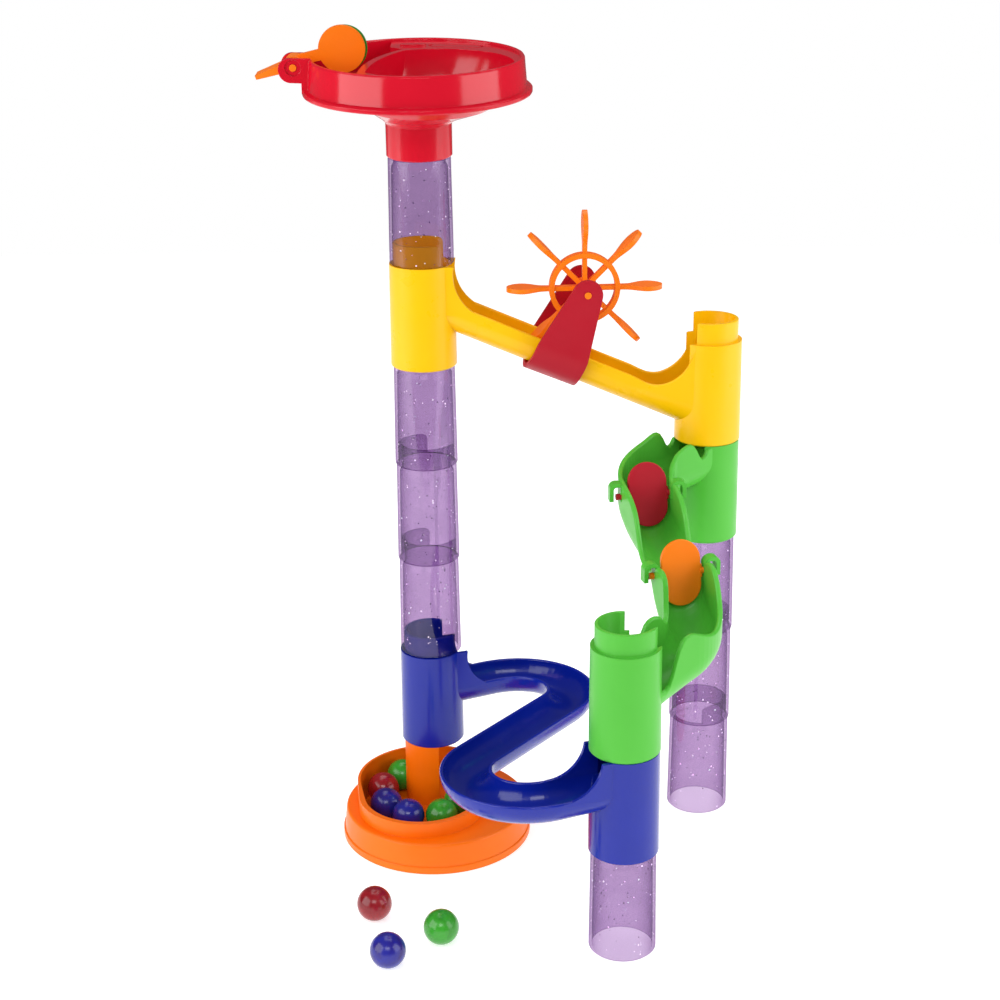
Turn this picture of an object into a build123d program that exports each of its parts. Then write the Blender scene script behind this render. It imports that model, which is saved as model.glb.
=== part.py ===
from build123d import *
import os
from math import asin, atan, atan2, cos, degrees, hypot, pi, radians, sin, sqrt

# A marble run: three towers of push-fit tubes joined by three ramps, with a funnel on the
# tallest tower and a catch tray under it. Millimetres. +Z is up, and the origin is the foot
# of the tallest tower's axis, on the face that the tray rests on.

# ---- driving dimensions ----
MARBLE_R = 8.0
MODULE = 48.9            # stacking height of one tube or ramp end
TOWER_A = (0.0, 0.0)
TOWER_B = (134.4, -3.8)
TOWER_C = (87.8, -135.2)
POST_TOP = 0.75 * MODULE

TUBE_R = 15.0
TUBE_TOP_R = 14.45
END_R = 15.6             # outer radius of a ramp's end, at its bottom
END_TOP_R = 15.3
BORE_R = 13.55           # socket under every piece
BORE_TOP_R = 13.0
SPIGOT_R = 13.45         # ring on top of every piece, which fits the socket above
SPIGOT_IN_R = 12.0
SPIGOT_H = 10.0
SOCKET_H = 11.5
SPIGOT_GAP = 19.0        # width of the gap in each spigot ring
GAP_ROUND = 2.5
EDGE_ROUND = 0.7

JOIN_R = 14.3            # channels join their ends inside the end's wall, at this radius
DOOR_REACH = 22.0
FLOOR_STEP = 0.4         # the dished floor stands this far proud of the channel it meets

PIN_R = 1.5
PIN_HOLE_R = 1.56

os.makedirs("parts", exist_ok=True)


def save(piece, name):
    piece.label = name
    export_step(piece, f"parts/{name}.step")


def side_plane(centre, heading, height=0.0):
    """Vertical plane through a tower's axis: x runs along the heading, y is up."""
    along = (cos(radians(heading)), sin(radians(heading)), 0)
    across = (sin(radians(heading)), -cos(radians(heading)), 0)
    return Plane(origin=(*centre, height), x_dir=along, z_dir=across)


# ---- tubes and ramp ends ----
def tube_body(centre, base, outer_r, top_r, gap_heading):
    """A push-fit tube with a socket below and a gapped spigot ring on top."""
    x, y = centre
    half_gap = SPIGOT_GAP / 2
    with BuildPart() as tube:
        with BuildSketch(Plane(origin=(x, y, base), x_dir=(1, 0, 0), z_dir=(0, -1, 0))):
            with BuildLine():
                Polyline(
                    (BORE_R, 0),
                    (outer_r - EDGE_ROUND, 0),
                    (outer_r, EDGE_ROUND),
                    (top_r, MODULE),
                    (SPIGOT_R, MODULE),
                    (SPIGOT_R, MODULE + SPIGOT_H - EDGE_ROUND / 2),
                    (SPIGOT_R - EDGE_ROUND / 2, MODULE + SPIGOT_H),
                    (SPIGOT_IN_R, MODULE + SPIGOT_H),
                    (SPIGOT_IN_R, MODULE - 2.0),
                    (BORE_TOP_R, MODULE - 4.0),
                    (BORE_R, SOCKET_H),
                    close=True,
                )
            make_face()
        revolve(axis=Axis((x, y, 0), (0, 0, 1)))
        # the gap in the spigot ring, with rounded corners at the top
        with BuildSketch(side_plane(centre, gap_heading + 90, base + MODULE)):
            with BuildLine():
                turn = SPIGOT_H - GAP_ROUND
                Line((-half_gap, 0.6), (-half_gap, turn))
                RadiusArc((-half_gap, turn), (-half_gap - GAP_ROUND, SPIGOT_H), -GAP_ROUND)
                Polyline(
                    (-half_gap - GAP_ROUND, SPIGOT_H),
                    (-half_gap - GAP_ROUND, SPIGOT_H + 2),
                    (half_gap + GAP_ROUND, SPIGOT_H + 2),
                    (half_gap + GAP_ROUND, SPIGOT_H),
                )
                RadiusArc((half_gap + GAP_ROUND, SPIGOT_H), (half_gap, turn), -GAP_ROUND)
                Polyline((half_gap, turn), (half_gap, 0.6), (-half_gap, 0.6))
            make_face()
        extrude(amount=2 * SPIGOT_R, mode=Mode.SUBTRACT)
    return tube.part


# ---- paths that the ramps follow in plan ----
class Straight:
    """A straight run from one tower axis to another."""

    def __init__(self, start, end):
        self.start = start
        self.heading = atan2(end[1] - start[1], end[0] - start[0])
        self.length = hypot(end[0] - start[0], end[1] - start[1])

    def at(self, s):
        x = self.start[0] + s * cos(self.heading)
        y = self.start[1] + s * sin(self.heading)
        return x, y, self.heading


class DoubleBend:
    """An S in plan: straight, arc, straight, arc, straight, the same from either end.

    sense is +1 where the first arc turns left and -1 where it turns right.
    """

    def __init__(self, start, end, turn_centre, turn_r, sense):
        self.start, self.end, self.sense, self.r = start, end, sense, turn_r
        self.centre = turn_centre
        to_centre = (turn_centre[0] - start[0], turn_centre[1] - start[1])
        reach = hypot(*to_centre)
        self.lead = sqrt(reach**2 - turn_r**2)
        self.first = atan2(to_centre[1], to_centre[0]) - sense * asin(turn_r / reach)
        middle = ((start[0] + end[0]) / 2, (start[1] + end[1]) / 2)
        to_middle = (middle[0] - turn_centre[0], middle[1] - turn_centre[1])
        half = hypot(*to_middle)
        second = atan2(to_middle[1], to_middle[0]) + sense * asin(turn_r / half)
        self.turn = ((second - self.first) * sense) % (2 * pi)
        self.half_length = self.lead + turn_r * self.turn + sqrt(half**2 - turn_r**2)
        self.length = 2 * self.half_length

    def at(self, s):
        if s > self.half_length:
            x, y, heading = self.at(self.length - s)
            return self.start[0] + self.end[0] - x, self.start[1] + self.end[1] - y, heading
        run = min(s, self.lead)
        x = self.start[0] + run * cos(self.first)
        y = self.start[1] + run * sin(self.first)
        turned = min(max(s - self.lead, 0) / self.r, self.turn)
        if turned:
            spoke = self.first - self.sense * pi / 2 + self.sense * turned
            x = self.centre[0] + self.r * cos(spoke)
            y = self.centre[1] + self.r * sin(spoke)
        heading = self.first + self.sense * turned
        rest = max(s - self.lead - self.r * self.turn, 0)
        return x + rest * cos(heading), y + rest * sin(heading), heading


def section_plane(path, s):
    """Upright plane across the path: x to the left of travel, y up."""
    x, y, heading = path.at(s)
    return Plane(origin=(x, y, 0), x_dir=(-sin(heading), cos(heading), 0),
                 z_dir=(cos(heading), sin(heading), 0))


def smooth_between(points, s):
    """Height at s on a smooth curve through (s, height) points."""
    k = max(i for i, (s0, h0) in enumerate(points[:-1]) if s0 <= s)
    (s0, h0), (s1, h1) = points[k], points[k + 1]
    sa, ha = points[max(k - 1, 0)]
    sb, hb = points[min(k + 2, len(points) - 1)]
    step = s1 - s0
    start_rise = (h1 - ha) / (s1 - sa) * step
    end_rise = (hb - h0) / (sb - s0) * step
    t = (s - s0) / step
    return (h0 * (2 * t**3 - 3 * t**2 + 1) + start_rise * (t**3 - 2 * t**2 + t)
            + h1 * (3 * t**2 - 2 * t**3) + end_rise * (t**3 - t**2))


def evenly(first, last, step):
    """Places from first to last, about a step apart."""
    count = round((last - first) / step)
    return [first + (last - first) * k / count for k in range(count + 1)]


def channel(path, stations, wall):
    """A U channel along the path, through (s, underside, rim, half width) stations."""
    rim_r = wall / 2
    with BuildPart() as trough:
        for s, underside, rim, half in stations:
            inner = half - wall
            edge = rim - rim_r
            spring = underside + min(half, edge - underside - 0.6)
            inner_spring = min(spring, underside + wall + inner)
            with BuildSketch(section_plane(path, s)):
                with BuildLine():
                    Line((-half, edge), (-half, spring))
                    ThreePointArc((-half, spring), (0, underside), (half, spring))
                    Line((half, spring), (half, edge))
                    ThreePointArc((half, edge), (half - rim_r, rim), (inner, edge))
                    Line((inner, edge), (inner, inner_spring))
                    ThreePointArc((inner, inner_spring), (0, underside + wall), (-inner, inner_spring))
                    Line((-inner, inner_spring), (-inner, edge))
                    ThreePointArc((-inner, edge), (rim_r - half, rim), (-half, edge))
                make_face()
        loft(ruled=True)
    return trough.part


def passage(path, s_from, s_to, floor, top, half):
    """The room a marble needs along a straight stretch: round below, open to the top."""
    with BuildPart() as room:
        with BuildSketch(section_plane(path, s_from)):
            with BuildLine():
                Line((-half, top), (-half, floor + half))
                ThreePointArc((-half, floor + half), (0, floor), (half, floor + half))
                Line((half, floor + half), (half, top))
                Line((half, top), (-half, top))
            make_face()
        extrude(amount=s_to - s_from)
    return room.part


def lip(path, s_near, s_far, top, rim, wall, half, side):
    """A wall plate that sweeps from a ramp end's top down to the channel's rim."""
    base = 0 if s_far > s_near else path.length
    x, y, heading = path.at(base)
    plane = side_plane((x, y), degrees(heading)).offset(side * (half - wall / 2))
    near, far = s_near - base, s_far - base
    inward = 0.6 * near
    mid = (near + 0.30 * (far - near), rim + 0.30 * (top - rim))
    with BuildPart() as plate:
        with BuildSketch(plane):
            with BuildLine():
                Line((inward, rim - wall), (inward, top))
                Line((inward, top), (near, top))
                ThreePointArc((near, top), mid, (far, rim - 0.3))
                Line((far, rim - 0.3), (far, rim - wall))
                Line((far, rim - wall), (inward, rim - wall))
            make_face()
        extrude(amount=wall / 2, both=True)
    return plate.part


def drill(centre, base, r, height):
    """A vertical bore, to be taken away from something."""
    with BuildPart() as bore:
        with BuildSketch(Plane.XY.offset(base)):
            with Locations(centre):
                Circle(r)
        extrude(amount=height)
    return bore.part


def doorway(path, at_start, floor, top, half):
    """Room for a marble between a tower's axis and the start or end of its channel."""
    if at_start:
        return passage(path, 0, DOOR_REACH, floor, top, half)
    return passage(path, path.length - DOOR_REACH, path.length, floor, top, half)


def ramp_end(path, at_start, base, floor, wall, half):
    """A push-fit end, open towards the channel, with its spigot's gap on the same side."""
    x, y, heading = path.at(0 if at_start else path.length)
    gap_heading = degrees(heading) + (0 if at_start else 180)
    with BuildPart() as end:
        add(tube_body((x, y), base, END_R, END_TOP_R, gap_heading))
        add(doorway(path, at_start, floor - wall / 2, base + MODULE + SPIGOT_H + 1, half), mode=Mode.SUBTRACT)
    return end.part


def end_floor(path, at_start, floor, half):
    """The dished floor inside a ramp's upper end, round at the back and open to the channel."""
    x, y, heading = path.at(0 if at_start else path.length)
    r = half - FLOOR_STEP
    low = floor + FLOOR_STEP
    with BuildPart() as plug:
        with BuildSketch(Plane.XY.offset(floor - 2.0)):
            with Locations((x, y)):
                Circle(JOIN_R + 0.3)
        extrude(amount=half + 1.0)
        with Locations((x, y, low + r)):
            Sphere(r, mode=Mode.SUBTRACT)
        add(doorway(path, at_start, low, low + 2 * half + 2, r), mode=Mode.SUBTRACT)
    return plug.part


def trimmed(ramp_channel, base):
    """A channel cut back to where it joins the walls of its two ends."""
    path, shape = ramp_channel
    with BuildPart() as cut_back:
        add(shape)
        for x, y, heading in (path.at(0), path.at(path.length)):
            add(drill((x, y), base, JOIN_R, 4 * MODULE), mode=Mode.SUBTRACT)
    return cut_back.part


# ---- straight yellow ramp, tower A to tower B ----
YELLOW_A_Z = POST_TOP + 4 * MODULE
YELLOW_B_Z = 4 * MODULE
YELLOW_DROP = 0.4155      # fall per millimetre of run
YELLOW_HALF = 10.5
YELLOW_MOUTH_HALF = 13.4
YELLOW_WALL = 1.8
YELLOW_DEPTH = 15.3
YELLOW_PATH = Straight(TOWER_A, TOWER_B)


def yellow_under(s):
    return 254.7 - YELLOW_DROP * s


def build_yellow_ramp():
    path = YELLOW_PATH
    stations = [(s, yellow_under(s), yellow_under(s) + YELLOW_DEPTH, YELLOW_HALF) for s in (6, 30, 60, 90)]
    # the mouth at tower B widens, and its rim sweeps up to the end's top
    flare_start = 95
    mouth_rim = [(90, yellow_under(90) + YELLOW_DEPTH), (98, yellow_under(98) + YELLOW_DEPTH), (102, 227.2), (106, 225.5),
                 (111, 225.1), (116, 226.8), (120, 229.6), (123, 233.0), (125.2, 237.2), (127, 242.5)]
    for s in evenly(flare_start, 127, 1.6):
        flare = (s - flare_start) / (127 - flare_start)
        half = YELLOW_HALF + (YELLOW_MOUTH_HALF - YELLOW_HALF) * flare**2 * (3 - 2 * flare)
        stations.append((s, yellow_under(s), smooth_between(mouth_rim, s), half))
    inner = YELLOW_HALF - YELLOW_WALL
    a_floor = yellow_under(10) + YELLOW_WALL
    b_floor = yellow_under(120) + YELLOW_WALL
    with BuildPart() as run:
        add(channel(path, stations, YELLOW_WALL))
        for side in (1, -1):
            add(lip(path, 15.2, 24, YELLOW_A_Z + MODULE, yellow_under(24) + YELLOW_DEPTH, YELLOW_WALL,
                    YELLOW_HALF, side))
    with BuildPart() as ramp:
        add(ramp_end(path, True, YELLOW_A_Z, a_floor, YELLOW_WALL, inner - 0.25))
        add(ramp_end(path, False, YELLOW_B_Z, b_floor, YELLOW_WALL, YELLOW_MOUTH_HALF - YELLOW_WALL))
        add(trimmed((path, run.part), YELLOW_B_Z))
        add(end_floor(path, True, a_floor, inner))
    return ramp.part


# ---- blue S ramp, tower C down to tower A ----
BLUE_A_Z = POST_TOP
BLUE_C_Z = MODULE
BLUE_HALF = 11.7
BLUE_WALL = 1.6
BLUE_DEPTH = 12.4
BLUE_A_RIM = 66.0
BLUE_C_RIM = 84.5
BLUE_PATH = DoubleBend(TOWER_A, TOWER_C, turn_centre=(38.7, -19.4), turn_r=30.4, sense=-1)


def build_blue_ramp():
    path = BLUE_PATH
    spread = evenly(8, path.length - 8, 2.7)
    rims = {s: BLUE_A_RIM + (BLUE_C_RIM - BLUE_A_RIM) * s / path.length for s in spread}
    stations = [(s, rims[s] - BLUE_DEPTH, rims[s], BLUE_HALF) for s in spread]
    a_floor = BLUE_A_RIM + 0.8 - BLUE_DEPTH + BLUE_WALL
    c_floor = BLUE_C_RIM - 0.8 - BLUE_DEPTH + BLUE_WALL
    inner = BLUE_HALF - BLUE_WALL
    with BuildPart() as run:
        add(channel(path, stations, BLUE_WALL))
        for side in (1, -1):
            add(lip(path, 15.6, 25, BLUE_A_Z + MODULE, BLUE_A_RIM + 1.6, BLUE_WALL, BLUE_HALF, side))
            add(lip(path, path.length - 14.4, path.length - 32, BLUE_C_Z + MODULE, BLUE_C_RIM - 2.0,
                    BLUE_WALL, BLUE_HALF, side))
    with BuildPart() as ramp:
        add(ramp_end(path, True, BLUE_A_Z, a_floor, BLUE_WALL, inner))
        add(ramp_end(path, False, BLUE_C_Z, c_floor, BLUE_WALL, inner))
        add(trimmed((path, run.part), BLUE_A_Z))
        add(end_floor(path, False, c_floor, inner))
    return ramp.part


# ---- green double-bend ramp, tower B down to tower C, with two swinging gates ----
GREEN_B_Z = 3 * MODULE
GREEN_C_Z = 2 * MODULE
GREEN_HALF = 12.95
GREEN_WALL = 2.4
GREEN_PATH = DoubleBend(TOWER_B, TOWER_C, turn_centre=(122.5, -37.4), turn_r=19.6, sense=1)
GREEN_RIM = [
    (7, 195.2), (10, 195.0), (11.4, 193.8), (12.6, 191.8), (14, 191.0), (15.6, 192.0), (17.4, 195.2), (19.4, 198.2),
    (22, 199.5), (25, 198.9), (29, 197.0), (34, 194.6), (40, 192.2), (46, 189.8), (52, 187.4), (57.5, 185.6),
    (62, 183.8), (66, 181.3), (69, 178.6), (71.5, 175.0), (73.5, 170.8), (75.6, 166.4), (78, 163.3), (81, 161.0),
    (84.5, 159.4), (88, 158.8), (92, 159.5), (96, 161.6), (100, 163.6), (104, 164.0), (107, 163.0), (109.3, 160.4),
    (111.4, 156.0), (114, 151.0), (118, 146.6), (123.5, 144.2), (128, 145.1), (132, 147.4), (135.5, 148.5),
    (138.6, 148.0), (141, 146.2), (143.2, 141.8), (145.2, 136.0), (147, 130.6), (149, 127.2), (152, 126.2),
    (155.5, 126.2),
]
GREEN_UNDER = [(7, 175), (30, 172.3), (42, 169.5), (47, 165.6), (53, 160.6), (60, 157.2), (75, 153.4), (87, 150.4),
               (92, 146.4), (97, 138.4), (102, 132.8), (109, 128.3), (122, 124), (136, 119.5), (156, 112.7)]
GATES = {                    # name: (s, pin height, lean at rest in degrees)
    "red": (52.5, 180.6, 14.0),
    "orange": (96.7, 158.7, 10.0),
}
EAR_W = 5.0
EAR_REACH = 5.0
EAR_T = 1.9
EAR_RISE = 6.6
EAR_DROP = 2.2


def gate_ear(path, s, pin_z, side):
    """The hooked ear over one end of a gate's pin: a half arch outside the wall."""
    wall_in = GREEN_HALF - GREEN_WALL
    out = GREEN_HALF + EAR_REACH
    top = pin_z + EAR_RISE
    low = pin_z - EAR_DROP
    with BuildPart() as ear:
        with BuildSketch(section_plane(path, s - EAR_W / 2)):
            with BuildLine():
                Polyline((side * wall_in, low), (side * wall_in, top - 3))
                ThreePointArc((side * wall_in, top - 3), (side * (wall_in + 1.2), top - 0.9),
                              (side * (wall_in + 3.4), top))
                Line((side * (wall_in + 3.4), top), (side * (out - 3), top))
                ThreePointArc((side * (out - 3), top), (side * (out - 0.9), top - 0.9), (side * out, top - 3))
                Line((side * out, top - 3), (side * out, low))
                Line((side * out, low), (side * (out - EAR_T), low))
                Line((side * (out - EAR_T), low), (side * (out - EAR_T), top - 3))
                ThreePointArc((side * (out - EAR_T), top - 3), (side * (out - EAR_T - 0.4), top - EAR_T - 0.4),
                              (side * (out - EAR_T - 1.4), top - EAR_T))
                Line((side * (out - EAR_T - 1.4), top - EAR_T), (side * GREEN_HALF, top - EAR_T))
                Line((side * GREEN_HALF, top - EAR_T), (side * GREEN_HALF, low))
                Line((side * GREEN_HALF, low), (side * wall_in, low))
            make_face()
        extrude(amount=EAR_W)
    return ear.part


def build_green_ramp():
    path = GREEN_PATH
    spread = evenly(GREEN_RIM[0][0], GREEN_RIM[-1][0], 1.8)
    stations = [(s, smooth_between(GREEN_UNDER, s), smooth_between(GREEN_RIM, s), GREEN_HALF) for s in spread]
    inner = GREEN_HALF - GREEN_WALL
    b_floor = smooth_between(GREEN_UNDER, 11) + GREEN_WALL
    c_floor = smooth_between(GREEN_UNDER, 148) + GREEN_WALL
    with BuildPart() as ramp:
        add(trimmed((path, channel(path, stations, GREEN_WALL)), GREEN_C_Z - 10))
        add(ramp_end(path, True, GREEN_B_Z, b_floor, GREEN_WALL, inner))
        add(ramp_end(path, False, GREEN_C_Z, c_floor, GREEN_WALL, inner))
        add(end_floor(path, True, b_floor, inner))
        for s, pin_z, lean in GATES.values():
            for side in (1, -1):
                add(gate_ear(path, s, pin_z, side))
            with BuildSketch(side_plane(path.at(s)[:2], degrees(path.at(s)[2]), pin_z)):
                Circle(PIN_HOLE_R)
            extrude(amount=GREEN_HALF + 0.5, both=True, mode=Mode.SUBTRACT)
    return ramp.part


# ---- swinging gates ----
GATE_HALF_W = 9.3
GATE_LENGTH = 30.0
GATE_T = 2.0
GATE_BOSS = 0.6           # the plate is this much wider round its pin, each side
GATE_PIN_END = GREEN_HALF + 2.2


def build_gate(name):
    """A stadium-shaped plate on a cross pin, hung across the green channel."""
    s, pin_z, lean = GATES[name]
    x, y, heading = GREEN_PATH.at(s)
    across = (-sin(heading), cos(heading), 0)
    tilt = radians(lean)
    # the plate's own up direction leans back up the ramp
    up = (-sin(tilt) * cos(heading), -sin(tilt) * sin(heading), cos(tilt))
    face = (across[1] * up[2] - across[2] * up[1], across[2] * up[0] - across[0] * up[2],
            across[0] * up[1] - across[1] * up[0])
    plate_plane = Plane(origin=(x, y, pin_z), x_dir=across, z_dir=face)
    pin_plane = Plane(origin=(x, y, pin_z), x_dir=up, z_dir=across)
    with BuildPart() as gate:
        with BuildSketch(plate_plane):
            SlotOverall(GATE_LENGTH, 2 * GATE_HALF_W, rotation=90)
            Rectangle(2 * (GATE_HALF_W + GATE_BOSS), 6)
        extrude(amount=GATE_T / 2, both=True)
        fillet(gate.faces().filter_by(Axis(origin=(0, 0, 0), direction=face)).edges(), 0.45)
        # the pin stands out at each side of the plate, and doesn't cross its face
        for side in (1, -1):
            with BuildSketch(pin_plane.offset(side * (GATE_HALF_W - 0.4))):
                Circle(PIN_R)
            extrude(amount=side * (GATE_PIN_END - GATE_HALF_W + 0.4))
    return gate.part


# ---- bracket and paddle wheel over the yellow ramp ----
RAMP_TILT = atan(YELLOW_DROP)
AXLE_S = 75.65
AXLE_HEIGHT = 42.3        # above the channel's underside, square to it
STRAP_SKEW = radians(5.0)
AXLE_HEADING = YELLOW_PATH.heading + STRAP_SKEW
AXLE = (*YELLOW_PATH.at(AXLE_S)[:2], yellow_under(AXLE_S) + AXLE_HEIGHT / cos(RAMP_TILT))
AXLE_R = 1.6
AXLE_HOLE_R = 1.66
STRAP_HALF = 14.3         # inside half width
STRAP_T = 2.2
STRAP_W = 25.0
STRAP_TOP_R = 7.0
STRAP_GAP = 0.85
STRAP_SIDE = Plane(
    origin=AXLE,
    x_dir=(cos(RAMP_TILT) * cos(AXLE_HEADING), cos(RAMP_TILT) * sin(AXLE_HEADING), -sin(RAMP_TILT)),
    z_dir=(sin(AXLE_HEADING), -cos(AXLE_HEADING), 0),
)


def build_bracket():
    """A U strap that hangs under the ramp and carries the wheel between its arms."""
    across = Plane(origin=AXLE, x_dir=STRAP_SIDE.z_dir, z_dir=STRAP_SIDE.x_dir)
    outer = STRAP_HALF + STRAP_T
    centre_n = -AXLE_HEIGHT - STRAP_GAP + STRAP_HALF
    flip = 1 if across.y_dir.Z > 0 else -1
    with BuildPart() as bracket:
        with BuildSketch(across):
            with BuildLine():
                top = flip * (STRAP_TOP_R + 1)
                low = flip * centre_n
                Line((-outer, top), (-outer, low))
                ThreePointArc((-outer, low), (0, low - flip * outer), (outer, low))
                Polyline((outer, low), (outer, top), (STRAP_HALF, top), (STRAP_HALF, low))
                ThreePointArc((STRAP_HALF, low), (0, low - flip * STRAP_HALF), (-STRAP_HALF, low))
                Polyline((-STRAP_HALF, low), (-STRAP_HALF, top), (-outer, top))
            make_face()
        extrude(amount=STRAP_W / 2, both=True)
        # side outline: round arm tops that widen down to the strap
        with BuildSketch(STRAP_SIDE):
            Circle(STRAP_TOP_R)
            with BuildLine():
                Polyline(
                    (-STRAP_TOP_R, 0.5), (STRAP_TOP_R, 0.5), (STRAP_W / 2, -30), (STRAP_W / 2, -AXLE_HEIGHT - 5),
                    (-STRAP_W / 2, -AXLE_HEIGHT - 5), (-STRAP_W / 2, -30), close=True,
                )
            make_face()
        extrude(amount=outer + 1, both=True, mode=Mode.INTERSECT)
        with BuildSketch(STRAP_SIDE):
            Circle(AXLE_HOLE_R)
        extrude(amount=outer + 1, both=True, mode=Mode.SUBTRACT)
    return bracket.part


WHEEL_ARMS = 8
WHEEL_TIP_R = 36.5
RING_R = 16.6
RING_T = 2.4
RING_W = 5.0
ARM_T = 2.2
HUB_R = 3.4
HUB_HALF = 6.5
PADDLE_HALF_W = 6.4
AXLE_END = STRAP_HALF + STRAP_T + 0.3


def build_wheel():
    """Eight spoon-shaped paddles on a ring and a hub, with its axle moulded on."""
    face = Plane(origin=AXLE, x_dir=(cos(AXLE_HEADING), sin(AXLE_HEADING), 0),
                 z_dir=(sin(AXLE_HEADING), -cos(AXLE_HEADING), 0))
    with BuildPart() as wheel:
        with BuildSketch(face):
            Circle(AXLE_R)
        extrude(amount=AXLE_END, both=True)
        with BuildSketch(face):
            Circle(HUB_R)
        extrude(amount=HUB_HALF, both=True)
        with BuildSketch(face):
            Circle(RING_R)
            Circle(RING_R - RING_T, mode=Mode.SUBTRACT)
        extrude(amount=RING_W / 2, both=True)
        for k in range(WHEEL_ARMS):
            turn = 2 * pi * k / WHEEL_ARMS
            out = face.x_dir * cos(turn) + face.y_dir * sin(turn)
            side = face.z_dir.cross(out)
            with BuildSketch(Plane(origin=AXLE, x_dir=out, z_dir=side)):
                with BuildLine():
                    Line((1, -1.7), (RING_R + 1, -1.7))
                    Spline((RING_R + 1, -1.7), (23, -3.4), (29.5, -PADDLE_HALF_W), (WHEEL_TIP_R, 0),
                           (29.5, PADDLE_HALF_W), (23, 3.4), (RING_R + 1, 1.7),
                           tangents=((1, 0), (-1, 0)))
                    Polyline((RING_R + 1, 1.7), (1, 1.7), (1, -1.7))
                make_face()
            extrude(amount=ARM_T / 2, both=True)
    return wheel.part


# ---- funnel, seated a little askew on the tallest tower ----
FUNNEL_Z = POST_TOP + 6 * MODULE + 1.0      # the tilt lifts the neck off the tube on one side
FUNNEL_TILT = radians(3.38)
FUNNEL = Plane(origin=(0.1, 0, FUNNEL_Z), x_dir=(1, 0, 0), z_dir=(0, -sin(FUNNEL_TILT), cos(FUNNEL_TILT)))
RIM_H = 44.8
RIM_R = 48.4
RIM_IN_R = 46.5
FLANGE_H = 28.7
FLANGE_R = 51.8
DECK_H = 43.6
LEVER_X = -54.9
LEVER_H = 41.4
LEVER_PIN_R = 1.6
LEVER_HOLE_R = 1.66
EAR_RECESS_R = 3.6


def funnel_plane(height):
    return FUNNEL.offset(height)


def ridge_line(shift):
    """Left edge of the bowl, and of the pocket when shifted: a curve from front to back."""
    points = [(-21.2, -50), (-21.0, -25), (-17.8, -5), (-12.2, 10.5), (-4.0, 24.5)]
    return [(x + shift, y) for x, y in points]


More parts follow.
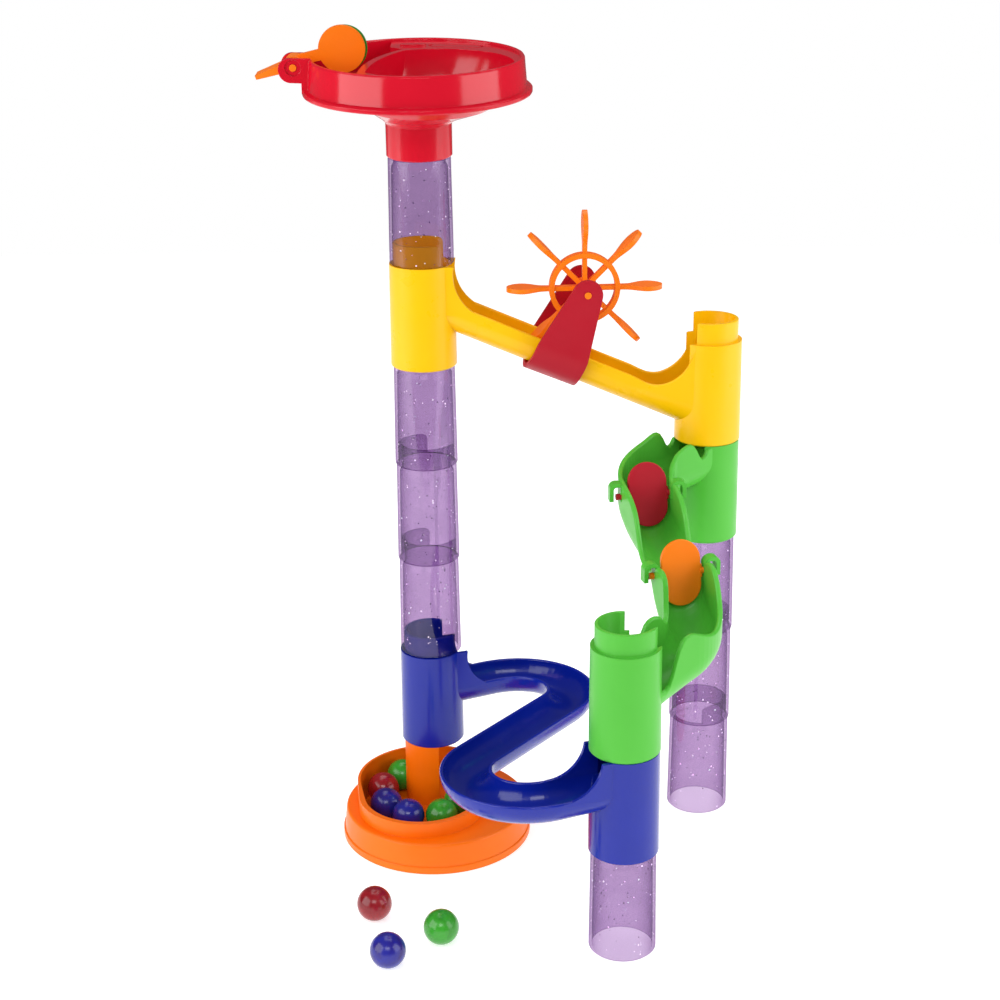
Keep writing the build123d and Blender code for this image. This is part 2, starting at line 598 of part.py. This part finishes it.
def build_funnel():
    upright = Plane(origin=FUNNEL.origin, x_dir=FUNNEL.x_dir, z_dir=-FUNNEL.y_dir)
    with BuildPart() as bowl_room:
        for height, r, cx, cy in ((RIM_H + 1, 35.6, 8, -11.2), (34, 33.4, 7.4, -10.3), (24, 26, 5, -7), (18, 13, 0, 0)):
            with BuildSketch(funnel_plane(height)):
                with Locations((cx, cy)):
                    Circle(r)
        loft()
        with BuildSketch(funnel_plane(5)):
            with BuildLine():
                edge = ridge_line(0)
                Spline(*edge)
                Polyline(edge[-1], (20, 60), (60, 60), (60, -60), (edge[0][0], -60), edge[0])
            make_face()
        extrude(amount=50, mode=Mode.INTERSECT)
        with BuildSketch(funnel_plane(5)):
            Circle(RIM_IN_R)
        extrude(amount=50, mode=Mode.INTERSECT)
    with BuildPart() as bowl_shell:
        for height, r, cx, cy in ((34, 35.2, 7.4, -10.3), (23, 27.2, 5, -7), (17.5, 17.4, 0.8, -1), (14.6, 14.4, 0, 0)):
            with BuildSketch(funnel_plane(height)):
                with Locations((cx, cy)):
                    Circle(r)
        loft(ruled=True)
    with BuildPart() as pocket_room:
        with BuildSketch(funnel_plane(31.5)):
            Circle(RIM_IN_R)
            with BuildLine():
                edge = ridge_line(-3.4)
                Spline(*edge)
                Polyline(edge[-1], (edge[-1][0] - 6, 30), (edge[-1][0] - 6, 60), (-70, 60), (-70, -70),
                         (edge[0][0], -70), edge[0])
            make_face(mode=Mode.INTERSECT)
        extrude(amount=20)
    with BuildPart() as hollow_back:
        with BuildSketch(funnel_plane(8)):
            Circle(RIM_IN_R)
            with Locations((8, -11.2)):
                Circle(38.2, mode=Mode.SUBTRACT)
            with Locations((-30, 0)):
                Rectangle(50, 120, mode=Mode.SUBTRACT)
        extrude(amount=DECK_H - 2.2 - 8)
    with BuildPart() as funnel:
        with BuildSketch(upright):
            with BuildLine():
                Polyline(
                    (0, 0), (14.6, 0), (15.1, 0.5), (15.1, 16), (19, 21), (19, FLANGE_H + 0.5), (48.6, FLANGE_H + 0.5),
                    (49.2, FLANGE_H), (51.5, FLANGE_H), (FLANGE_R, FLANGE_H + 0.5), (FLANGE_R, FLANGE_H + 1.8),
                    (51.3, FLANGE_H + 2.3), (49.4, FLANGE_H + 2.8), (RIM_R, RIM_H - 0.8), (RIM_R - 0.5, RIM_H),
                    (RIM_IN_R + 0.5, RIM_H), (RIM_IN_R, RIM_H - 0.5), (RIM_IN_R, DECK_H), (0, DECK_H), close=True,
                )
            make_face()
        revolve(axis=Axis(FUNNEL.origin, FUNNEL.z_dir))
        add(bowl_shell.part)
        add(bowl_room.part, mode=Mode.SUBTRACT)
        add(pocket_room.part, mode=Mode.SUBTRACT)
        add(hollow_back.part, mode=Mode.SUBTRACT)
        # the low raised pad and the groove round it on the back of the deck
        with BuildSketch(funnel_plane(DECK_H - 0.1)):
            with Locations((-3, 33.5)):
                SlotOverall(12, 4)
        extrude(amount=0.9)
        with BuildSketch(funnel_plane(DECK_H)):
            with Locations((17, 31.5)):
                SlotOverall(26, 8, rotation=-14)
                SlotOverall(24, 6, rotation=-14, mode=Mode.SUBTRACT)
        extrude(amount=-0.5, mode=Mode.SUBTRACT)
        # lever hinge: two ears outside the rim, tied down to the flange by a rib
        for side in (1, -1):
            with BuildSketch(upright.offset(side * 7.0)):
                with BuildLine():
                    Polyline((-46.9, 45.4), (-56, 45.6))
                    ThreePointArc((-56, 45.6), (-60.6, 43.6), (-61.4, 39.6))
                    ThreePointArc((-61.4, 39.6), (-59.6, 36.2), (-56.4, 34.8))
                    Polyline((-56.4, 34.8), (-51.4, 34.6), (-51.4, FLANGE_H + 1), (-48.2, FLANGE_H + 1), (-46.9, 45.4))
                make_face()
            extrude(amount=1.1, both=True)
        # slot through the rim for the lever's arm, and the pin holes
        with BuildSketch(upright):
            with Locations((-49.5, 43.9)):
                Rectangle(13, 11)
        extrude(amount=5.9, both=True, mode=Mode.SUBTRACT)
        with BuildSketch(upright):
            with Locations((LEVER_X, LEVER_H)):
                Circle(LEVER_HOLE_R)
        extrude(amount=9, both=True, mode=Mode.SUBTRACT)
        # round recess on each ear's outer face
        for side in (1, -1):
            with BuildSketch(upright.offset(side * 7.5)):
                with Locations((LEVER_X, LEVER_H)):
                    Circle(EAR_RECESS_R)
            extrude(amount=side * 2, mode=Mode.SUBTRACT)
        # the way down, upright so that it sits over the leaning spigot, and the socket
        add(drill(TOWER_A, FUNNEL_Z - 2, BORE_R, SOCKET_H + 2), mode=Mode.SUBTRACT)
        add(drill(TOWER_A, FUNNEL_Z, SPIGOT_IN_R, 24), mode=Mode.SUBTRACT)
    return funnel.part


# ---- lever with its two-colour disc ----
DISC_X, DISC_H, DISC_R = -33.3, 48.5, 10.5


def build_lever():
    """Hub and pin between the funnel's ears, a finger tab outside and a disc inside."""
    upright = Plane(origin=FUNNEL.origin, x_dir=FUNNEL.x_dir, z_dir=-FUNNEL.y_dir)
    with BuildPart() as lever:
        with BuildSketch(upright):
            with Locations((LEVER_X, LEVER_H)):
                Circle(LEVER_PIN_R)
        extrude(amount=7.9, both=True)
        with BuildSketch(upright):
            with Locations((LEVER_X, LEVER_H)):
                Circle(4.6)
        extrude(amount=5.4, both=True)
        # finger tab outside, arm inside
        with BuildSketch(upright):
            with BuildLine():
                Polyline((-56, 39.4), (-71.6, 35.9), (-72.3, 37.6), (-58, 43.6), close=True)
            make_face()
        extrude(amount=5.4, both=True)
        with BuildSketch(upright.offset(1.3)):
            with BuildLine():
                Polyline((-56, 41.0), (-56, 45.6), (-40, 49.4), (-40, 44.2), close=True)
            make_face()
        extrude(amount=1.1, both=True)
        with BuildSketch(upright.offset(1.3)):
            with Locations((DISC_X, DISC_H)):
                Circle(DISC_R)
        extrude(amount=1.1, both=True)
    return lever.part


def build_disc_back():
    upright = Plane(origin=FUNNEL.origin, x_dir=FUNNEL.x_dir, z_dir=-FUNNEL.y_dir)
    with BuildPart() as back:
        with BuildSketch(upright.offset(-0.85)):
            with Locations((DISC_X + 1.1, DISC_H)):
                Circle(DISC_R - 0.3)
        extrude(amount=1.05, both=True)
    return back.part


# ---- catch tray with the post that carries tower A ----
FLOOR_Z = 4.0
TRAY_C = (2.0, -28.1)
SHELF_Z = 14.7
WALL_TOP = 22.0
POST_R = 15.0
POST_IN_R = 13.0


def basin_outline(front_r, back_r):
    """Rounded outline of the basin: the hull of a front and a back circle."""
    with Locations((-5.0, -34.6)):
        Circle(front_r)
    with Locations((-3.0, -17.5)):
        Circle(back_r)
    make_hull()


def build_tray():
    with BuildPart() as tray:
        with BuildSketch(Plane(origin=(*TRAY_C, 0), x_dir=(1, 0, 0), z_dir=(0, -1, 0))):
            with BuildLine():
                Polyline((0, 0), (46.5, 0), (46.5, 2.8))
                ThreePointArc((46.5, 2.8), (46.3, 3.3), (45.8, 3.5))
                Line((45.8, 3.5), (44.7, SHELF_Z - 1.2))
                ThreePointArc((44.7, SHELF_Z - 1.2), (44.3, SHELF_Z - 0.35), (43.4, SHELF_Z))
                Polyline((43.4, SHELF_Z), (0, SHELF_Z), (0, 0))
            make_face()
        revolve(axis=Axis((*TRAY_C, 0), (0, 0, 1)))
        with BuildSketch(Plane.XY.offset(1)):
            basin_outline(31.4, 35.3)
        extrude(amount=WALL_TOP - 1, taper=1.5)
        # hollow underside between the skirt and the basin
        with BuildSketch():
            with Locations(TRAY_C):
                Circle(43.0)
        extrude(amount=SHELF_Z - 2.0, mode=Mode.SUBTRACT)
        with BuildSketch():
            basin_outline(30.6, 35.3)
        extrude(amount=SHELF_Z - 1)
        with BuildSketch(Plane.XY.offset(FLOOR_Z)):
            basin_outline(28.2, 33.4)
        extrude(amount=30, mode=Mode.SUBTRACT)
        # post with its spigot, as two wall sectors with windows between them
        with BuildSketch():
            Circle(POST_R)
            Circle(POST_IN_R, mode=Mode.SUBTRACT)
            with BuildLine():
                for first, last in ((200, 282), (10, 90)):
                    corners = [(40 * cos(radians(a)), 40 * sin(radians(a))) for a in (first, (first + last) / 2, last)]
                    Polyline((0, 0), *corners, close=True)
            make_face(mode=Mode.INTERSECT)
        extrude(amount=POST_TOP)
        with BuildSketch(Plane.XY.offset(POST_TOP - 3)):
            Circle(SPIGOT_R)
            Circle(SPIGOT_IN_R, mode=Mode.SUBTRACT)
            with BuildLine():
                for first, last in ((200, 282), (10, 90)):
                    corners = [(40 * cos(radians(a)), 40 * sin(radians(a))) for a in (first, (first + last) / 2, last)]
                    Polyline((0, 0), *corners, close=True)
            make_face(mode=Mode.INTERSECT)
        extrude(amount=SPIGOT_H + 3)
    return tray.part


# ---- marbles ----
MARBLES = {                  # name: (x, y, lowest point)
    "marble_tray_green_1": (-16.4, 3.7, FLOOR_Z),
    "marble_tray_red": (-25.6, -10.3, FLOOR_Z),
    "marble_tray_blue_1": (-23.3, -26.6, FLOOR_Z),
    "marble_tray_blue_2": (-11.7, -38.2, FLOOR_Z),
    "marble_tray_green_2": (4.8, -38.4, FLOOR_Z),
    "marble_tray_green_3": (13.4, -24.4, FLOOR_Z),
    "marble_floor_red": (-24.3, -112.5, 0.0),
    "marble_floor_green": (6.8, -132.5, 0.0),
    "marble_floor_blue": (-16.2, -150.7, 0.0),
}


def build_marble(x, y, low):
    with BuildPart() as marble:
        with Locations((x, y, low + MARBLE_R)):
            Sphere(MARBLE_R)
    return marble.part


def save_tubes():
    towers = {
        "a": (TOWER_A, [POST_TOP + k * MODULE for k in (1, 2, 3, 5)], 45),
        "b": (TOWER_B, [k * MODULE for k in (0, 1, 2)], 225),
        "c": (TOWER_C, [0.0], 60),
    }
    for tower, (centre, levels, gap) in towers.items():
        for number, level in enumerate(levels, start=1):
            tube = tube_body(centre, level, TUBE_R, TUBE_TOP_R, gap_heading=gap)
            save(tube, f"clear_tube_{tower}{number}")


save_tubes()
save(build_yellow_ramp(), "yellow_ramp")
save(build_blue_ramp(), "blue_s_ramp")
save(build_green_ramp(), "green_gate_ramp")
save(build_gate("red"), "gate_red")
save(build_gate("orange"), "gate_orange")
save(build_bracket(), "wheel_bracket")
save(build_wheel(), "paddle_wheel")
save(build_funnel(), "funnel")
save(build_lever(), "funnel_lever")
save(build_disc_back(), "lever_disc_back")
save(build_tray(), "catch_tray")
for marble_name, marble_place in MARBLES.items():
    save(build_marble(*marble_place), marble_name)
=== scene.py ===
import math
import random

import bpy
from mathutils import Matrix, Vector


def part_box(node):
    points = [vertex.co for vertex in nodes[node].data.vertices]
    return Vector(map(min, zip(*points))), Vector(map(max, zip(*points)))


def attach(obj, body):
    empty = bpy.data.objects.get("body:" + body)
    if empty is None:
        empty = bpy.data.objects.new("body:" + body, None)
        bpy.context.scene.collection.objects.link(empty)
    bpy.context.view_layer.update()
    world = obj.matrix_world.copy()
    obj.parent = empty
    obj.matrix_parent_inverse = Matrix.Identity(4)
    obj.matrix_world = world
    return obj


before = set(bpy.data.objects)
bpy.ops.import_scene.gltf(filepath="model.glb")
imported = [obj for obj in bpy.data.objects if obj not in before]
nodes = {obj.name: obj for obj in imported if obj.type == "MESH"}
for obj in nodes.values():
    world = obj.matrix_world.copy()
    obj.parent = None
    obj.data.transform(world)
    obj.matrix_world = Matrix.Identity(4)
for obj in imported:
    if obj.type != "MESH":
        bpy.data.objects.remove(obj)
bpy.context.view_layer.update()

MM = 0.001
WHITE = (1, 1, 1, 1)


# ---- colour and node helpers ----
# a noise texture's value stays mostly between these two
NOISE_LOW, NOISE_HIGH = 0.3, 0.7
# the colour sockets of a Mix node, which share their names with its sockets for other data types
MIX_FIRST, MIX_SECOND, MIX_RESULT = 6, 7, 2


def linear(red, green, blue):
    """A linear colour from an 8-bit display colour."""
    def one(value):
        v = value / 255
        return v / 12.92 if v <= 0.04045 else ((v + 0.055) / 1.055) ** 2.4
    return (one(red), one(green), one(blue), 1.0)


class Graph:
    """A material's node tree, with short calls to add and join nodes."""

    def __init__(self, name):
        self.material = bpy.data.materials.new(name)
        self.material.use_nodes = True
        self.tree = self.material.node_tree
        self.tree.nodes.clear()
        self.out = self.add("ShaderNodeOutputMaterial")
        self.where = self.add("ShaderNodeTexCoord").outputs["Object"]

    def add(self, kind, **values):
        """A new node; each value goes to the input of that name, or else to the node's own setting."""
        node = self.tree.nodes.new(kind)
        for key, value in values.items():
            if key in node.inputs:
                node.inputs[key].default_value = value
            else:
                setattr(node, key, value)
        return node

    def join(self, output, socket):
        self.tree.links.new(output, socket)

    def noise(self, scale, detail=2.0):
        node = self.add("ShaderNodeTexNoise", Scale=scale, Detail=detail)
        self.join(self.where, node.inputs["Vector"])
        return node.outputs["Fac"]

    def span(self, value, from_low, from_high, low, high):
        """A value's range carried over to another range."""
        ends = {"From Min": from_low, "From Max": from_high, "To Min": low, "To Max": high}
        node = self.add("ShaderNodeMapRange", **ends)
        self.join(value, node.inputs["Value"])
        return node.outputs["Result"]

    def uneven(self, low, high, scale, detail=2.0):
        """Noise between two values."""
        return self.span(self.noise(scale, detail), NOISE_LOW, NOISE_HIGH, low, high)

    def power(self, value, exponent):
        node = self.add("ShaderNodeMath", operation="POWER")
        self.join(value, node.inputs[0])
        node.inputs[1].default_value = exponent
        return node.outputs[0]

    def mix(self, factor, first, second):
        """A blend of two colours, each a fixed colour or another node's output."""
        node = self.add("ShaderNodeMix", data_type="RGBA")
        self.join(factor, node.inputs["Factor"])
        for colour, place in ((first, MIX_FIRST), (second, MIX_SECOND)):
            if isinstance(colour, tuple):
                node.inputs[place].default_value = colour
            else:
                self.join(colour, node.inputs[place])
        return node.outputs[MIX_RESULT]

    def close(self, shader):
        """Joins the shader to the output, and gives the material."""
        self.join(shader.outputs[0], self.out.inputs["Surface"])
        return self.material


# ---- materials ----
PLASTIC_IOR = 1.46
MARBLE_IOR = 1.5
# noise scales: about how many features fit in a metre
DRIFT_SCALE, GLOSS_SCALE, GRAIN_SCALE = 28.0, 90.0, 900.0
TINT_SCALE, CLEAR_GLOSS_SCALE, MARBLE_GLOSS_SCALE = 40.0, 60.0, 160.0
EDGE_RADIUS = 0.35 * MM
GRAIN_DEPTH = 0.2 * MM
DRIFT_START, DRIFT_MOST = 0.35, 0.35
# moulded plastic's roughness varies between these shares of the value given
ROUGH_LOW, ROUGH_HIGH = 0.85, 1.2
CLEAR_ROUGH = (0.04, 0.1)
MARBLE_ROUGH = (0.16, 0.26)

FACE_ON_TINT = (0.765, 0.672, 0.805, 1.0)
GRAZING_TINT = (0.38, 0.24, 0.46, 1.0)
SHADOW_TINT = (0.96, 0.93, 0.97, 1.0)
TINT_POWER, TINT_DRIFT = 2.2, 0.05
SHINE_POWER, SHINE_FACE_ON, SHINE_GRAZING = 4.5, 0.035, 0.14

STREAK_START, STREAK_END = 0.42, 0.66

# emission strength of the flakes: a painted glint, since the flakes are no lamps
FLAKE_PAINTED_GLINT = 0.9
FLAKE_TINTS = (
    (0.0, WHITE),
    (0.36, (1.0, 0.75, 1.0, 1)),
    (0.46, (0.75, 1.0, 0.85, 1)),
    (0.54, (0.05, 0.02, 0.08, 1)),
)


def moulded(name, colour, deep, rough, gloss=0.5, grain=0.04):
    """Moulded plastic: slow colour drift, uneven gloss, faint grain and softened edges."""
    g = Graph(name)
    shader = g.add("ShaderNodeBsdfPrincipled", **{"IOR": PLASTIC_IOR, "Specular IOR Level": gloss})
    drift = g.span(g.noise(DRIFT_SCALE, detail=3.0), DRIFT_START, NOISE_HIGH, 0.0, DRIFT_MOST)
    g.join(g.mix(drift, linear(*colour), linear(*deep)), shader.inputs["Base Color"])
    roughness = g.uneven(rough * ROUGH_LOW, rough * ROUGH_HIGH, GLOSS_SCALE, detail=4.0)
    g.join(roughness, shader.inputs["Roughness"])
    rounded = g.add("ShaderNodeBevel", samples=4, Radius=EDGE_RADIUS)
    bump = g.add("ShaderNodeBump", Strength=grain, Distance=GRAIN_DEPTH)
    g.join(g.noise(GRAIN_SCALE, detail=3.0), bump.inputs["Height"])
    g.join(rounded.outputs["Normal"], bump.inputs["Normal"])
    g.join(bump.outputs["Normal"], shader.inputs["Normal"])
    return g.close(shader)


def clear_purple(name):
    """Thin tinted clear plastic, which passes less light and shines more where it is seen edge on."""
    g = Graph(name)
    see_through = g.add("ShaderNodeBsdfTransparent")
    shine = g.add("ShaderNodeBsdfGlossy", Color=WHITE)
    blend = g.add("ShaderNodeMixShader")
    facing = g.add("ShaderNodeLayerWeight").outputs["Facing"]
    depth = g.add("ShaderNodeMath", operation="ADD", use_clamp=True)
    g.join(g.power(facing, TINT_POWER), depth.inputs[0])
    g.join(g.uneven(-TINT_DRIFT, TINT_DRIFT, TINT_SCALE), depth.inputs[1])
    tint = g.mix(depth.outputs[0], FACE_ON_TINT, GRAZING_TINT)
    # the plastic scatters lamp light on to what stands inside, so shadows are tinted less
    shadow = g.add("ShaderNodeLightPath").outputs["Is Shadow Ray"]
    g.join(g.mix(shadow, tint, SHADOW_TINT), see_through.inputs["Color"])
    g.join(g.uneven(*CLEAR_ROUGH, CLEAR_GLOSS_SCALE), shine.inputs["Roughness"])
    rising = g.power(facing, SHINE_POWER)
    g.join(g.span(rising, 0.0, 1.0, SHINE_FACE_ON, SHINE_GRAZING), blend.inputs[0])
    g.join(see_through.outputs[0], blend.inputs[1])
    g.join(shine.outputs[0], blend.inputs[2])
    return g.close(blend)


def marble(name, colour, dark):
    """A glossy marble with soft streaks."""
    g = Graph(name)
    shader = g.add("ShaderNodeBsdfPrincipled", IOR=MARBLE_IOR)
    streak = g.add("ShaderNodeTexNoise", Scale=70.0, Detail=3.0, Distortion=1.6)
    g.join(g.where, streak.inputs["Vector"])
    blend = g.span(streak.outputs["Fac"], STREAK_START, STREAK_END, 0.0, 1.0)
    g.join(g.mix(blend, linear(*colour), linear(*dark)), shader.inputs["Base Color"])
    g.join(g.uneven(*MARBLE_ROUGH, MARBLE_GLOSS_SCALE), shader.inputs["Roughness"])
    return g.close(shader)


def glitter():
    """Glitter specks whose emission paints their glints, each cell of space its own tint."""
    g = Graph("glitter_flakes")
    shader = g.add("ShaderNodeBsdfPrincipled", Metallic=0.4, Roughness=0.3)
    # the emission paints the glints of the flakes
    shader.inputs["Emission Strength"].default_value = FLAKE_PAINTED_GLINT
    cells = g.add("ShaderNodeTexVoronoi", Scale=420.0)
    g.join(g.where, cells.inputs["Vector"])
    parts = g.add("ShaderNodeSeparateColor")
    g.join(cells.outputs["Color"], parts.inputs["Color"])
    ramp = g.add("ShaderNodeValToRGB")
    ramp.color_ramp.interpolation = "CONSTANT"
    stops = ramp.color_ramp.elements
    for k, (place, tint) in enumerate(FLAKE_TINTS):
        # a new ramp already has two stops
        stop = stops[k] if k < 2 else stops.new(place)
        stop.position, stop.color = place, tint
    g.join(parts.outputs[0], ramp.inputs["Fac"])
    g.join(ramp.outputs["Color"], shader.inputs["Base Color"])
    g.join(ramp.outputs["Color"], shader.inputs["Emission Color"])
    return g.close(shader)


# the colours are 8-bit display colours: the usual one, and the one it drifts towards
MATERIALS = {
    "funnel": moulded("red_gloss", (210, 14, 40), (196, 8, 34), 0.14, gloss=0.6, grain=0.02),
    "catch_tray": moulded("orange_tray", (248, 112, 2), (242, 102, 0), 0.34, gloss=0.3),
    "orange": moulded("orange_parts", (254, 126, 12), (250, 114, 4), 0.36, gloss=0.35),
    "yellow_ramp": moulded("yellow_gloss", (250, 194, 0), (246, 184, 0), 0.3, gloss=0.35),
    "green_gate_ramp": moulded("green_semi_gloss", (84, 186, 60), (74, 176, 50), 0.33, gloss=0.35),
    "blue_s_ramp": moulded("blue_gloss", (8, 32, 150), (4, 24, 134), 0.18),
    "crimson": moulded("crimson_satin", (178, 18, 38), (164, 12, 32), 0.42, gloss=0.3),
    "disc_back": moulded("green_disc", (20, 140, 36), (14, 124, 28), 0.35),
    "clear": clear_purple("clear_purple_plastic"),
    "marble_green": marble("marble_green", (58, 158, 44), (44, 132, 32)),
    "marble_red": marble("marble_red", (150, 24, 34), (122, 12, 24)),
    "marble_blue": marble("marble_blue", (34, 36, 142), (40, 24, 110)),
}

# pieces whose material has another name than the piece
SHARED_MATERIALS = {
    "gate_red": "crimson", "wheel_bracket": "crimson", "gate_orange": "orange",
    "paddle_wheel": "orange", "funnel_lever": "orange", "lever_disc_back": "disc_back",
}


def material_for(name):
    if name.startswith("clear_tube"):
        return MATERIALS["clear"]
    if name.startswith("marble"):
        tint = next(t for t in ("green", "red", "blue") if t in name)
        return MATERIALS["marble_" + tint]
    return MATERIALS[SHARED_MATERIALS.get(name, name)]


for name, piece in nodes.items():
    piece.data.materials.clear()
    piece.data.materials.append(material_for(name))


# ---- glitter inside the clear tubes' walls ----
FLAKES_PER_TUBE = 150
FLAKE_THICKNESS = 0.06 * MM
FLAKE_SIZES = [size * MM for size in (0.16, 0.2, 0.28, 0.4)]
FLAKE_RADII = (13.8 * MM, 14.2 * MM)
FLAKE_TILT = 0.35
SIDES = 6
# the flakes keep this far from a tube's lower end and from the foot of the spigot at its upper end
END_MARGIN = 1.5 * MM
SPIGOT_HEIGHT = 10 * MM


def flake_rims(place, outward, draw):
    """The two six-sided rims of one flake, which nearly faces outward."""
    tilt = Vector([draw.uniform(-FLAKE_TILT, FLAKE_TILT) for _ in range(3)])
    facing = (outward + tilt).normalized()
    across = facing.orthogonal().normalized()
    along = facing.cross(across)
    size = draw.choice(FLAKE_SIZES)
    rims = []
    for side in (-0.5, 0.5):
        middle = place + facing * side * FLAKE_THICKNESS
        for k in range(SIDES):
            turn = 2 * math.pi * k / SIDES
            rims.append(middle + (across * math.cos(turn) + along * math.sin(turn)) * size)
    return rims


def add_object(name, verts, faces, material):
    """A new mesh object in the scene."""
    mesh = bpy.data.meshes.new(name)
    mesh.from_pydata(verts, [], faces)
    mesh.materials.append(material)
    made = bpy.data.objects.new(name, mesh)
    bpy.context.scene.collection.objects.link(made)
    return made


def add_glitter(tube_name, seed, material):
    """Small closed six-sided flakes scattered through one tube's wall."""
    draw = random.Random(seed)
    low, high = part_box(tube_name)
    axis = (low + high) / 2
    verts, faces = [], []
    for _ in range(FLAKES_PER_TUBE):
        angle = draw.uniform(0, 2 * math.pi)
        outward = Vector((math.cos(angle), math.sin(angle), 0))
        height = draw.uniform(low.z + END_MARGIN, high.z - SPIGOT_HEIGHT - END_MARGIN)
        place = Vector((axis.x, axis.y, height)) + outward * draw.uniform(*FLAKE_RADII)
        start = len(verts)
        verts += flake_rims(place, outward, draw)
        faces.append([start + k for k in reversed(range(SIDES))])
        faces.append([start + SIDES + k for k in range(SIDES)])
        for k in range(SIDES):
            after = (k + 1) % SIDES
            faces.append([start + k, start + after, start + SIDES + after, start + SIDES + k])
    flakes = add_object(tube_name + "_glitter", verts, faces, material)
    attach(flakes, "run")


flake_material = glitter()
for seed, tube_name in enumerate(sorted(n for n in nodes if n.startswith("clear_tube"))):
    add_glitter(tube_name, seed, flake_material)


# ---- floor and light ----
FLOOR_X, FLOOR_Y = (-2.0, 2.2), (-0.55, 1.3)
FLOOR_HEIGHT = -0.3 * MM
FLOOR_PALE, FLOOR_PALER = (0.84, 0.84, 0.84, 1), (0.86, 0.86, 0.86, 1)
FLOOR_TONE_SCALE = 3.0
FLOOR_GLOW = 0.56
WORLD_FILL, WORLD_REFLECTED = 0.3, 0.12

LAMP_TARGET = (0.05, -0.03, 0.2)
# name, place, width, height, watts
LAMPS = (
    ("key_left", (-1.05, -0.62, 0.62), 1.3, 1.1, 13.0),
    ("fill_right", (1.2, -0.42, 0.62), 1.2, 1.1, 11.0),
    ("top", (0.1, 0.5, 1.6), 1.2, 1.2, 9.0),
    ("front", (0.0, -1.5, 1.25), 0.9, 0.5, 7.0),
)


def floor_material():
    """A pale matt floor, lit from within so that it comes out nearly white."""
    g = Graph("pale_floor")
    shader = g.add("ShaderNodeBsdfPrincipled", Roughness=0.7)
    shader.inputs["Specular IOR Level"].default_value = 0.1
    shader.inputs["Emission Color"].default_value = WHITE
    shader.inputs["Emission Strength"].default_value = FLOOR_GLOW
    tone = g.uneven(0.0, 1.0, FLOOR_TONE_SCALE)
    g.join(g.mix(tone, FLOOR_PALER, FLOOR_PALE), shader.inputs["Base Color"])
    return g.close(shader)


def studio_world():
    """White where the camera sees it, dim in reflections, and a soft fill elsewhere."""
    world = bpy.data.worlds.new("soft_studio")
    world.use_nodes = True
    tree = world.node_tree
    sky = tree.nodes["Background"]
    sky.inputs["Color"].default_value = WHITE
    ray = tree.nodes.new("ShaderNodeLightPath")
    dim = tree.nodes.new("ShaderNodeMapRange")
    dim.inputs["To Min"].default_value = WORLD_FILL
    dim.inputs["To Max"].default_value = WORLD_REFLECTED
    tree.links.new(ray.outputs["Is Glossy Ray"], dim.inputs["Value"])
    white = tree.nodes.new("ShaderNodeMath")
    white.operation = "MAXIMUM"
    tree.links.new(dim.outputs["Result"], white.inputs[0])
    tree.links.new(ray.outputs["Is Camera Ray"], white.inputs[1])
    tree.links.new(white.outputs[0], sky.inputs["Strength"])
    bpy.context.scene.world = world


def softbox(name, place, width, height, watts):
    """A rectangular lamp that faces the toy."""
    light = bpy.data.lights.new(name, "AREA")
    light.shape = "RECTANGLE"
    light.size, light.size_y, light.energy = width, height, watts
    lamp = bpy.data.objects.new(name, light)
    lamp.location = place
    towards = Vector(LAMP_TARGET) - Vector(place)
    lamp.rotation_euler = towards.to_track_quat("-Z", "Y").to_euler()
    bpy.context.scene.collection.objects.link(lamp)


floor_corners = [(x, y, FLOOR_HEIGHT) for y in FLOOR_Y for x in FLOOR_X]
add_object("floor", floor_corners, [(0, 1, 3, 2)], floor_material())
studio_world()
for lamp in LAMPS:
    softbox(*lamp)


# ---- camera ----
CAMERA_PLACE = (0.0352, -0.868, 0.478)
CAMERA_PITCH, CAMERA_ROLL = math.radians(19.93), math.radians(-0.61)
SENSOR_WIDTH, FOCAL_LENGTH = 36.0, 68.33

lens = bpy.data.cameras.new("camera")
lens.sensor_width, lens.lens = SENSOR_WIDTH, FOCAL_LENGTH
camera = bpy.data.objects.new("camera", lens)
looking = Matrix.Rotation(math.pi / 2 - CAMERA_PITCH, 4, "X") @ Matrix.Rotation(CAMERA_ROLL, 4, "Z")
camera.matrix_world = Matrix.Translation(CAMERA_PLACE) @ looking
bpy.context.scene.collection.objects.link(camera)
bpy.context.scene.camera = camera
bpy.context.scene.view_settings.view_transform = "Standard"
